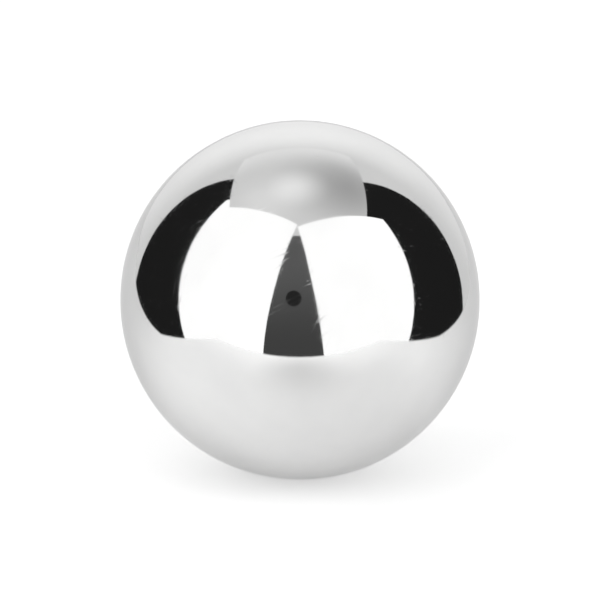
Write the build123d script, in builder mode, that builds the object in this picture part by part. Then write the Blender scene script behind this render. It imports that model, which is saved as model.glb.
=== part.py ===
from build123d import *
import os

# A sphere magnet: one loose ball of sintered magnet alloy with a bright metal plating.
# The blank is ground round and tumbled until it has no flat, seam or edge left, and the
# plating is a few hundredths of a millimetre thick, so the ball is one solid throughout.
# Sizes are in millimetres. The origin is the ball's centre. +Z is the magnetic axis, with
# the north pole at the top and the south pole at the bottom.

# Driving dimension: the plated ball across its poles.
ball_diameter = 5.0

# The two poles lie on the magnetic axis, at the ball's radius from its centre.
ball_radius = ball_diameter / 2
centre = (0, 0)
south_pole = (0, -ball_radius)
north_pole = (0, ball_radius)

# The ball is half of its section turned once round the magnetic axis. The meridian starts
# at the south pole and runs half a circle to the north pole, and the axis closes it.
meridian_start = -90
meridian_sweep = 180

with BuildPart() as magnet_ball:
    with BuildSketch(Plane.XZ) as half_section:
        with BuildLine() as half_outline:
            meridian = CenterArc(centre, ball_radius, meridian_start, meridian_sweep)
            magnetic_axis = Line(north_pole, south_pole)
        make_face()
    revolve(axis=Axis.Z)

magnet_ball.part.label = "magnet_ball"

os.makedirs("parts", exist_ok=True)
export_step(magnet_ball.part, "parts/magnet_ball.step")
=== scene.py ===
"""Looks of the sphere magnet: one mirror-bright plated ball on a pale floor.

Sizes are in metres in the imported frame. The origin is the ball's centre, +Z is its
magnetic axis, and the camera looks along +Y from a little above. A polished ball shows
its whole surroundings, so the studio is built all round it: two softboxes that lean
together in front, a ceiling and a backdrop of white cloth, and a dark room beyond them.
"""

import logging
import math
from dataclasses import dataclass, field
from enum import Enum

import bmesh
import bpy
from mathutils import Matrix, Vector, noise

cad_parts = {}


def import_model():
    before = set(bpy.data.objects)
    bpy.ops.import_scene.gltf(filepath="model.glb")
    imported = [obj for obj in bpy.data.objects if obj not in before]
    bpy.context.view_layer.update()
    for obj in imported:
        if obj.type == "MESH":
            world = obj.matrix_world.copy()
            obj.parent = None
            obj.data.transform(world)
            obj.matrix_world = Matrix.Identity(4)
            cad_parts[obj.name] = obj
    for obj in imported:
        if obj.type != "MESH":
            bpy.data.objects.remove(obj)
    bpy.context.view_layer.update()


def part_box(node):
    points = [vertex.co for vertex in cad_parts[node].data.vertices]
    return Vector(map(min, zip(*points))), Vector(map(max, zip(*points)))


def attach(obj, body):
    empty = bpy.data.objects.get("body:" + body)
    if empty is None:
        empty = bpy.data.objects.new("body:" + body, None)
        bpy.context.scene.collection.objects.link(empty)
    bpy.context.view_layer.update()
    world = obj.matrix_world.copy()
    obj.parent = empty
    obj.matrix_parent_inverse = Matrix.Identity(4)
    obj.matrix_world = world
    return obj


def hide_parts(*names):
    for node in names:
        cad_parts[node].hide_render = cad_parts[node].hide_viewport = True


log = logging.getLogger("sphere_magnet")

Pair = tuple[float, float]
Triple = tuple[float, float, float]
Colour = tuple[float, float, float, float]
Socket = bpy.types.NodeSocket

MILLIMETRE = 1e-3
MICRON = 1e-6
WHITE: Colour = (1.0, 1.0, 1.0, 1.0)

# A Mix node's colour sockets go by number, because its data types share their names
MIX_FIRST = 6
MIX_SECOND = 7
MIX_RESULT = 2

# A card whose direction is this near to straight up lies overhead, with its far edge to +Y
OVERHEAD = 0.99


def towards(azimuth: float, elevation: float) -> Vector:
    """Direction from the ball to a place in the studio.

    Args:
        azimuth: Degrees round the ball, 0 in front of it and 90 to its right.
        elevation: Degrees above the horizon.

    Returns:
        The direction as a unit vector.
    """
    turn, rise = math.radians(azimuth), math.radians(elevation)
    level = math.cos(rise)
    return Vector((math.sin(turn) * level, -math.cos(turn) * level, math.sin(rise)))


def mesh_object(name: str, shape: bmesh.types.BMesh, finish: bpy.types.Material) -> bpy.types.Object:
    """Turns a finished bmesh into an object at the origin, with its place in its mesh.

    Args:
        name: The object's name.
        shape: The bmesh, which is freed here.
        finish: The material of the whole object.

    Returns:
        The new object, linked into the scene.
    """
    mesh = bpy.data.meshes.new(name)
    shape.to_mesh(mesh)
    shape.free()
    mesh.materials.append(finish)
    made = bpy.data.objects.new(name, mesh)
    bpy.context.scene.collection.objects.link(made)
    return made


class Axis(Enum):
    """The frame's axes, by the names of their outputs on Separate XYZ."""

    X = "X"
    Y = "Y"
    Z = "Z"


class Graph:
    """A material's or the world's shader graph, written one node at a time."""

    def __init__(self, owner: bpy.types.Material | bpy.types.World) -> None:
        """Empties the owner's node tree.

        Args:
            owner: The material or world that the graph belongs to.
        """
        owner.use_nodes = True
        self.tree = owner.node_tree
        self.tree.nodes.clear()

    def add(self, kind: str, inputs: dict | None = None, **settings: object) -> bpy.types.Node:
        """Adds a node.

        Args:
            kind: The node's type, without the words ShaderNode.
            inputs: Socket name or number to a value, or to the socket that feeds it.
            settings: The node's own settings, such as operation.

        Returns:
            The new node.
        """
        node = self.tree.nodes.new("ShaderNode" + kind)
        for name, value in settings.items():
            setattr(node, name, value)
        for key, value in (inputs or {}).items():
            if isinstance(value, Socket):
                self.tree.links.new(value, node.inputs[key])
            else:
                node.inputs[key].default_value = value
        return node

    def math(self, operation: str, *values: float | Socket) -> Socket:
        """Adds a Math node, with numbers or sockets as its values, and returns its result."""
        return self.add("Math", dict(enumerate(values)), operation=operation).outputs["Value"]

    def vector(self, operation: str, *values: Triple | Socket) -> Socket:
        """Adds a Vector Math node, with vectors as its values, and returns the new vector."""
        return self.add("VectorMath", dict(enumerate(values)), operation=operation).outputs["Vector"]

    def along(self, place: Socket, axis: Axis) -> Socket:
        """Returns one coordinate of a place."""
        return self.add("SeparateXYZ", {"Vector": place}).outputs[axis.value]

    def distance(self, place: Socket, centre: Triple) -> Socket:
        """Returns a place's distance from a fixed centre."""
        return self.add("VectorMath", {0: place, 1: centre}, operation="DISTANCE").outputs["Value"]

    def remap(self, value: Socket, old: Pair, new: Pair, smooth: bool = False) -> Socket:
        """Maps one range of values onto another and clamps outside it.

        Args:
            value: The socket to map.
            old: The two values to map from.
            new: The two values to map to.
            smooth: Whether the change eases in and out.

        Returns:
            The mapped value's socket.
        """
        ends = {"From Min": old[0], "From Max": old[1], "To Min": new[0], "To Max": new[1]}
        kind = "SMOOTHSTEP" if smooth else "LINEAR"
        return self.add("MapRange", {"Value": value, **ends}, interpolation_type=kind).outputs["Result"]

    def noise(self, place: Socket, scale: float, detail: float, output: str = "Fac") -> Socket:
        """Adds a Noise texture and returns its Fac, about 0.5 on average, or its Color."""
        return self.add("TexNoise", {"Vector": place, "Scale": scale, "Detail": detail}).outputs[output]

    def seen_directly(self) -> Socket:
        """Tells the rays that see a surface from those that only light something by it.

        Returns:
            A socket that is 1 for camera, glossy and transmission rays and 0 for others.
        """
        rays = self.add("LightPath").outputs
        either = self.math("MAXIMUM", rays["Is Camera Ray"], rays["Is Glossy Ray"])
        return self.math("MAXIMUM", either, rays["Is Transmission Ray"])


@dataclass(frozen=True)
class NickelPlate:
    """Mirror-bright nickel over a tumbled ball.

    The coordinates are turned into ball radii first, so every scale below counts features
    to a radius, and the marks keep their size on a ball of any diameter. Depths are in
    microns.
    """

    name: str = "nickel_plate"
    bright: Triple = (0.735, 0.735, 0.731)
    dull: Triple = (0.700, 0.700, 0.698)
    edge_tint: Colour = (0.84, 0.84, 0.84, 1.0)
    haze: Pair = (0.030, 0.070)
    cloud_scale: float = 2.4
    cloud_detail: float = 4.0
    cloud_level: Pair = (0.35, 0.68)
    bend: float = 0.14
    bend_scale: float = 1.7
    hairline_turns: tuple[Triple, ...] = (
        (0.3, 0.5, 0.2),
        (1.4, 0.2, 1.1),
        (0.7, 1.9, 2.3),
        (2.5, 1.1, 0.6),
        (0.1, 2.6, 1.7),
        (1.9, 2.9, 2.8),
    )
    hairline_stretch: Triple = (2.0, 74.0, 74.0)
    hairline_level: Pair = (0.68, 0.78)
    hairline_grazing: Pair = (0.35, 0.65)
    hairline_haze: float = 0.10
    hairline_depth: float = 0.025
    patch_scale: float = 3.2
    patch_level: Pair = (0.46, 0.60)
    peel_scale: float = 13.0
    peel_depth: float = 0.20
    pit_scale: float = 11.0
    pit_radius: float = 0.085
    pit_share: float = 0.07
    pit_depth: float = 0.9

    def hairlines(self, graph: Graph, place: Socket) -> Socket:
        """Fine rubbing marks in several directions, each broken into short lengths.

        Args:
            graph: The material's graph.
            place: Coordinates in ball radii.

        Returns:
            A socket that is 1 along the marks and 0 between them.
        """
        swirl = graph.noise(place, self.bend_scale, detail=0.0, output="Color")
        bent = graph.vector("MULTIPLY_ADD", swirl, (self.bend,) * 3, place)
        lines = 0.0
        for turn in self.hairline_turns:
            turned = graph.add("Mapping", {"Vector": bent, "Rotation": turn}).outputs["Vector"]
            stretched = graph.vector("MULTIPLY", turned, self.hairline_stretch)
            grain = graph.noise(stretched, scale=1.0, detail=0.0)
            line = graph.remap(grain, self.hairline_level, (0.0, 1.0))
            slope = graph.math("ABSOLUTE", graph.along(turned, Axis.X))
            line = graph.math("MULTIPLY", line, graph.remap(slope, self.hairline_grazing, (1.0, 0.0)))
            patches = graph.noise(turned, self.patch_scale, detail=1.0)
            line = graph.math("MULTIPLY", line, graph.remap(patches, self.patch_level, (0.0, 1.0)))
            lines = graph.math("MAXIMUM", lines, line)
        return lines

    def pits(self, graph: Graph, place: Socket) -> Socket:
        """Pinholes in the plating, in a few of many cells.

        Args:
            graph: The material's graph.
            place: Coordinates in ball radii.

        Returns:
            A socket that is 1 in the middle of a pinhole and 0 outside it.
        """
        cells = graph.add("TexVoronoi", {"Vector": place, "Scale": self.pit_scale}).outputs
        bowl = graph.remap(cells["Distance"], (0.0, self.pit_radius), (1.0, 0.0), smooth=True)
        draw = graph.add("SeparateColor", {"Color": cells["Color"]}).outputs["Red"]
        return graph.math("MULTIPLY", bowl, graph.math("LESS_THAN", draw, self.pit_share))

    def material(self, radius: float) -> bpy.types.Material:
        """Makes the finish.

        Args:
            radius: The ball's radius in metres.

        Returns:
            The material.
        """
        made = bpy.data.materials.new(self.name)
        graph = Graph(made)
        metres = graph.add("TexCoord").outputs["Object"]
        place = graph.add("Mapping", {"Vector": metres, "Scale": (1 / radius,) * 3}).outputs["Vector"]
        cloud = graph.noise(place, self.cloud_scale, self.cloud_detail)
        lines = self.hairlines(graph, place)
        pits = self.pits(graph, place)
        colour = graph.add("Mix", {
            "Factor": graph.remap(cloud, self.cloud_level, (0.0, 1.0)),
            MIX_FIRST: (*self.bright, 1.0),
            MIX_SECOND: (*self.dull, 1.0),
        }, data_type="RGBA").outputs[MIX_RESULT]
        rubbed = graph.math("MULTIPLY", lines, self.hairline_haze)
        roughness = graph.math("ADD", graph.remap(cloud, self.cloud_level, self.haze), rubbed)
        peel = graph.math("MULTIPLY", graph.noise(place, self.peel_scale, detail=1.0), self.peel_depth)
        scratched = graph.math("MULTIPLY", lines, self.hairline_depth)
        cut = graph.math("ADD", scratched, graph.math("MULTIPLY", pits, self.pit_depth))
        relief = graph.add("Bump", {
            "Strength": 1.0,
            "Distance": MICRON,
            "Height": graph.math("SUBTRACT", peel, cut),
        })
        metal = graph.add("BsdfPrincipled", {
            "Base Color": colour,
            "Metallic": 1.0,
            "Roughness": roughness,
            "Specular Tint": self.edge_tint,
            "Normal": relief.outputs["Normal"],
        })
        graph.add("OutputMaterial", {"Surface": metal.outputs["BSDF"]})
        return made


@dataclass
class PlatedBall:
    """The whole magnet: a closed round body, left wavy by a few microns from its tumbling."""

    node: str = "magnet_ball"
    body: str = "root"
    slot: str = "nickel_plate"
    finish: NickelPlate = field(default_factory=NickelPlate)
    subdivisions: int = 7
    wave_depth: float = 3.0 * MICRON
    waves_per_radius: float = 3.5

    def radius(self) -> float:
        """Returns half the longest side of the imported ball, whose facets shorten the others."""
        low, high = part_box(self.node)
        return max(high - low) / 2

    def build(self) -> bpy.types.Object:
        """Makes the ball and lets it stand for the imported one.

        Returns:
            The finished piece.
        """
        radius = self.radius()
        shape = bmesh.new()
        bmesh.ops.create_icosphere(shape, subdivisions=self.subdivisions, radius=radius)
        for vertex in shape.verts:
            wave = noise.noise(vertex.co * (self.waves_per_radius / radius))
            depth = self.wave_depth * (0.5 + 0.5 * wave)
            vertex.co *= 1 - depth / radius
        for face in shape.faces:
            face.smooth = True
        piece = mesh_object("plated_ball", shape, self.finish.material(radius))
        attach(piece, self.body)
        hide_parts(self.node)
        return piece


@dataclass(frozen=True)
class Ramp:
    """A change of brightness along one axis, from one place to another."""

    axis: Axis
    start: float
    end: float
    change: float

    def light(self, graph: Graph, place: Socket) -> Socket:
        """Returns the light to add at a place, which grows from the ramp's start to its end."""
        span = (self.start, self.end)
        return graph.remap(graph.along(place, self.axis), span, (0.0, self.change), smooth=True)


@dataclass(frozen=True)
class Spot:
    """A soft round patch that is brighter or darker than the surface round it."""

    centre: Triple
    radius: float
    change: float

    def light(self, graph: Graph, place: Socket) -> Socket:
        """Returns the light to add at a place, which fades out from the patch's centre."""
        off = graph.distance(place, self.centre)
        return graph.remap(off, (0.0, self.radius), (self.change, 0.0), smooth=True)


@dataclass(frozen=True)
class Glow:
    """How bright a studio surface is, where 1 is the white of the floor."""

    level: float
    changes: tuple[Ramp | Spot, ...] = ()

    def material(self, name: str) -> bpy.types.Material:
        """Makes the glowing material.

        Args:
            name: The material's name.

        Returns:
            The material.
        """
        made = bpy.data.materials.new(name)
        graph = Graph(made)
        place = graph.add("TexCoord").outputs["Object"]
        strength = self.level
        for change in self.changes:
            strength = graph.math("ADD", strength, change.light(graph, place))
        light = graph.add("Emission", {"Color": WHITE, "Strength": strength})
        graph.add("OutputMaterial", {"Surface": light.outputs["Emission"]})
        return made


@dataclass(frozen=True)
class Card:
    """A flat studio surface that reflections and the floor see, and the camera doesn't.

    It stands square to a direction, given by its azimuth and elevation in degrees, and its
    roll turns it about that direction. Its size is its width and height, and its spread is
    how many times as wide its lower edge is, or the near edge of a card overhead.
    """

    name: str
    centre: Vector
    facing: Pair
    size: Pair
    glow: Glow
    roll: float = 0.0
    spread: float = 1.0
    is_round: bool = False
    round_segments: int = 48

    def basis(self) -> Matrix:
        """Works out how the card is turned.

        Returns:
            The rotation from a card that lies flat to this one.
        """
        away = towards(*self.facing)
        upright = Vector((0, 1, 0)) if abs(away.z) > OVERHEAD else Vector((0, 0, 1))
        side = upright.cross(away).normalized()
        standing = Matrix((side, away.cross(side), away)).transposed()
        return standing @ Matrix.Rotation(math.radians(self.roll), 3, "Z")

    def build(self) -> bpy.types.Object:
        """Makes the card.

        Returns:
            The card's object.
        """
        shape = bmesh.new()
        if self.is_round:
            bmesh.ops.create_circle(shape, cap_ends=True, segments=self.round_segments, radius=0.5)
        else:
            bmesh.ops.create_grid(shape, x_segments=1, y_segments=1, size=0.5)
            near = [vertex for vertex in shape.verts if vertex.co.y < 0]
            bmesh.ops.scale(shape, verts=near, vec=(self.spread, 1.0, 1.0))
        bmesh.ops.scale(shape, verts=shape.verts, vec=(*self.size, 1.0))
        bmesh.ops.rotate(shape, verts=shape.verts, matrix=self.basis(), cent=(0, 0, 0))
        bmesh.ops.translate(shape, verts=shape.verts, vec=self.centre)
        made = mesh_object(self.name, shape, self.glow.material(self.name))
        made.visible_camera = False
        return made


@dataclass(frozen=True)
class TableTop:
    """The table that the ball mirrors: its outline seen from the ball, and its light.

    Its front edge is level with the picture, its sides run back and then spread apart. Its
    light is what the mirrored floor has on it besides the floor's own.
    """

    front: float = 8.4 * MILLIMETRE
    side: float = 9.6 * MILLIMETRE
    shift: float = -0.3 * MILLIMETRE
    left_spread: float = 0.77
    right_spread: float = 0.38
    softness: float = 0.25 * MILLIMETRE
    front_glow: float = 0.15
    back_falloff: float = 0.255
    glow_from: float = 4.5 * MILLIMETRE
    falloff_to: float = 7.0 * MILLIMETRE
    shades: tuple[Spot, ...] = (
        Spot((0.0, -6.2 * MILLIMETRE, 0.0), 3.4 * MILLIMETRE, -0.30),
        Spot((3.0 * MILLIMETRE, -3.4 * MILLIMETRE, 0.0), 4.2 * MILLIMETRE, -0.10),
    )

    def outside(self, graph: Graph, place: Socket) -> Socket:
        """Tells which side of the outline a place is on.

        Args:
            graph: The floor's graph.
            place: The place on the floor.

        Returns:
            A socket that is 0 on the table and 1 beyond it.
        """
        depth = graph.along(place, Axis.Y)
        behind = graph.math("MAXIMUM", depth, 0.0)
        across = graph.math("SUBTRACT", graph.along(place, Axis.X), self.shift)
        past = graph.math("SUBTRACT", graph.math("MULTIPLY", depth, -1.0), self.front)
        for outwards, spread in ((-1.0, self.left_spread), (1.0, self.right_spread)):
            width = graph.math("MULTIPLY_ADD", behind, spread, self.side)
            past_side = graph.math("SUBTRACT", graph.math("MULTIPLY", across, outwards), width)
            past = graph.math("MAXIMUM", past, past_side)
        return graph.remap(past, (-self.softness, self.softness), (0.0, 1.0))

    def light(self, graph: Graph, place: Socket) -> Socket:
        """Brightens the table under the softboxes and darkens it between and behind them.

        Args:
            graph: The floor's graph.
            place: The place on the floor.

        Returns:
            A socket with the light to add.
        """
        depth = graph.along(place, Axis.Y)
        front = graph.remap(depth, (-self.front, -self.glow_from), (self.front_glow, 0.0))
        falloff = (0.0, self.back_falloff)
        back = graph.remap(depth, (-self.glow_from, self.falloff_to), falloff, smooth=True)
        light = graph.math("SUBTRACT", front, back)
        flat = graph.vector("MULTIPLY", place, (1.0, 1.0, 0.0))
        for shade in self.shades:
            light = graph.math("ADD", light, shade.light(graph, flat))
        return light


@dataclass
class Floor:
    """The pale floor, with the ball's soft shadow on it."""

    height: float
    half_width: float = 0.5
    colour: Colour = (0.85, 0.85, 0.85, 1.0)
    lift: float = 0.37
    white_side: float = 2.5 * MILLIMETRE
    white_front: float = 5.0 * MILLIMETRE
    fade_length: float = 9.0 * MILLIMETRE
    # The deepest painted shade on the floor, away from the ball
    painted_shade: float = 0.27
    table: TableTop = field(default_factory=TableTop)

    def falloff(self, graph: Graph, place: Socket) -> Socket:
        """Paints shade on the floor: greys it a little, away from the ball to its sides and its front.

        A softbox's reflection on the ball's rim then stands out against it from behind.

        Args:
            graph: The floor's graph.
            place: The place on the floor.

        Returns:
            A socket with the light to take away.
        """
        sideways = graph.math("ABSOLUTE", graph.along(place, Axis.X))
        forwards = graph.math("MULTIPLY", graph.along(place, Axis.Y), -1.0)
        white = self.painted_shade
        for distance, start in ((sideways, self.white_side), (forwards, self.white_front)):
            left = graph.remap(distance, (start, start + self.fade_length), (1.0, 0.0), smooth=True)
            white = graph.math("MULTIPLY", left, white)
        return graph.math("SUBTRACT", self.painted_shade, white)

    def material(self) -> bpy.types.Material:
        """Makes the floor's material.

        The lift makes it white to the camera and in reflections, with the shadow kept. The
        ball mirrors it only inside the table's outline, and the studio shows beyond that.

        Returns:
            The material.
        """
        made = bpy.data.materials.new("pale_floor")
        graph = Graph(made)
        place = graph.add("TexCoord").outputs["Object"]
        rays = graph.add("LightPath").outputs
        mirrored = rays["Is Glossy Ray"]
        lift = graph.math("MULTIPLY", graph.seen_directly(), self.lift)
        lift = graph.math("MULTIPLY_ADD", mirrored, self.table.light(graph, place), lift)
        # Painted shade: to the camera the floor greys away from the ball, as light falling off would
        painted_shade = graph.math("MULTIPLY", rays["Is Camera Ray"], self.falloff(graph, place))
        lift = graph.math("SUBTRACT", lift, painted_shade)
        glow = graph.add("Emission", {"Color": WHITE, "Strength": lift}).outputs["Emission"]
        cloth = graph.add("BsdfDiffuse", {"Color": self.colour}).outputs["BSDF"]
        both = graph.add("AddShader", {0: cloth, 1: glow}).outputs["Shader"]
        clear = graph.add("BsdfTransparent").outputs["BSDF"]
        cut = graph.math("MULTIPLY", mirrored, self.table.outside(graph, place))
        shown = graph.add("MixShader", {0: cut, 1: both, 2: clear})
        graph.add("OutputMaterial", {"Surface": shown.outputs["Shader"]})
        return made

    def build(self) -> bpy.types.Object:
        """Makes the floor.

        Returns:
            The floor's object.
        """
        shape = bmesh.new()
        bmesh.ops.create_grid(shape, x_segments=1, y_segments=1, size=self.half_width)
        bmesh.ops.translate(shape, verts=shape.verts, vec=(0, 0, self.height))
        made = mesh_object("floor", shape, self.material())
        return made


@dataclass
class Studio:
    """The floor, the lights and everything else that the polished ball reflects."""

    floor_height: float
    ceiling_height: float = 0.6
    backdrop_distance: float = 0.5
    screen_distance: float = 1.2
    camera_distance: float = 0.56
    camera_direction: Pair = (-4.1, 16.0)
    camera_width: float = 0.10
    room_half_width: float = 2.2
    softbox_glow: float = 1.40
    cloth_glow: float = 0.83
    screen_glow: float = 0.066
    camera_glow: float = 0.022
    room_glow: float = 0.015

    def softboxes(self) -> list[Card]:
        """Two tall softboxes in front that lean together over the camera.

        Returns:
            The left and the right softbox.
        """
        left = Card(
            name="softbox_left",
            centre=Vector((-0.394, -0.220, 0.174)),
            facing=(-36.9, 21.8),
            size=(0.655, 1.106),
            glow=Glow(self.softbox_glow),
            roll=-1.9,
        )
        right = Card(
            name="softbox_right",
            centre=Vector((0.380, -0.259, 0.119)),
            facing=(23.9, 17.6),
            size=(0.674, 0.957),
            glow=Glow(self.softbox_glow),
            roll=4.3,
        )
        return [left, right]

    def ceiling(self) -> Card:
        """A cloth overhead, brighter at its back and over the ball, and darker to its right.

        Returns:
            The ceiling.
        """
        over = self.ceiling_height
        glow = Glow(self.cloth_glow, changes=(
            Ramp(Axis.Y, start=0.22, end=self.backdrop_distance, change=0.17),
            Spot(centre=(-0.012, 0.030, over), radius=0.198, change=0.30),
            Spot(centre=(-0.198, -0.048, over), radius=0.288, change=0.11),
            Spot(centre=(0.270, 0.090, over), radius=0.450, change=-0.36),
        ))
        return Card(
            name="ceiling_cloth",
            centre=Vector((-0.018, 0.065, over)),
            facing=(0, 90),
            size=(0.50, 0.93),
            glow=glow,
            spread=2.33,
        )

    def backdrop(self) -> Card:
        """A cloth behind the ball, with a soft pool of light low on it.

        Returns:
            The backdrop.
        """
        back = self.backdrop_distance
        pool = Spot(centre=(0.0, back, 0.22), radius=0.60, change=0.42)
        return Card(
            name="backdrop",
            centre=Vector((0.048, back, 0.55)),
            facing=(180, 0),
            size=(1.395, 2.1),
            glow=Glow(self.cloth_glow, changes=(pool,)),
            spread=0.826,
        )

    def front_middle(self) -> list[Card]:
        """What shows between the softboxes: a dim screen with the camera before it.

        Returns:
            The screen and the round stand-in for the camera.
        """
        brighter_above = Ramp(Axis.Z, start=-0.35, end=0.95, change=0.060)
        screen = Card(
            name="screen_behind_camera",
            centre=Vector((0, -self.screen_distance, 0.4)),
            facing=(0, 0),
            size=(1.8, 3.2),
            glow=Glow(self.screen_glow, changes=(brighter_above,)),
        )
        camera = Card(
            name="camera_stand_in",
            centre=towards(*self.camera_direction) * self.camera_distance,
            facing=self.camera_direction,
            size=(self.camera_width, self.camera_width),
            glow=Glow(self.camera_glow),
            is_round=True,
        )
        return [screen, camera]

    def dark_room(self) -> bpy.types.Object:
        """The unlit room beyond the cards.

        Returns:
            The room's object.
        """
        shape = bmesh.new()
        bmesh.ops.create_cube(shape, size=2 * self.room_half_width)
        made = mesh_object("dark_room", shape, Glow(self.room_glow).material("dark_room"))
        made.visible_camera = False
        return made

    def white_world(self) -> None:
        """Makes the background white wherever nothing else stands."""
        world = bpy.data.worlds.new("white_world")
        bpy.context.scene.world = world
        graph = Graph(world)
        back = graph.add("Background", {"Color": WHITE, "Strength": graph.seen_directly()})
        graph.add("OutputWorld", {"Surface": back.outputs["Background"]})

    def build(self) -> None:
        """Sets up the studio and reports each part of it."""
        parts = [Floor(self.floor_height).build()]
        for card in (*self.softboxes(), self.ceiling(), self.backdrop(), *self.front_middle()):
            parts.append(card.build())
        parts.append(self.dark_room())
        self.white_world()
        for part in parts:
            log.info("studio: %s", part.name)


@dataclass(frozen=True)
class PhotoCamera:
    """The camera, at the height the ball is seen from, with a long close-up lens.

    Its clips, near and far, are in camera distances.
    """

    elevation: float = 15.0
    lens: float = 1000.0
    sensor: float = 36.0
    frame_share: float = 0.6
    near_clip: float = 0.1
    far_clip: float = 10.0

    def place(self, diameter: float) -> bpy.types.Object:
        """Puts the camera where the ball fills its share of the picture.

        Args:
            diameter: The ball's diameter in metres.

        Returns:
            The camera, set as the scene's.
        """
        data = bpy.data.cameras.new("photo_camera")
        data.lens, data.sensor_width = self.lens, self.sensor
        distance = diameter / self.frame_share * self.lens / self.sensor
        data.clip_start, data.clip_end = self.near_clip * distance, self.far_clip * distance
        camera = bpy.data.objects.new("photo_camera", data)
        back = towards(0, self.elevation)
        camera.location = back * distance
        camera.rotation_euler = (-back).to_track_quat("-Z", "Y").to_euler()
        bpy.context.scene.collection.objects.link(camera)
        bpy.context.scene.camera = camera
        return camera


def main() -> None:
    """Builds the ball, the studio and the camera."""
    logging.basicConfig(level=logging.INFO)
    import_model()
    ball = PlatedBall()
    radius = ball.radius()
    piece = ball.build()
    log.info("piece: %s, %d faces", piece.name, len(piece.data.polygons))
    Studio(floor_height=-radius).build()
    camera = PhotoCamera().place(2 * radius)
    log.info("camera: %s", camera.name)
    bpy.context.scene.view_settings.view_transform = "Standard"


if __name__ == "__main__":
    main()
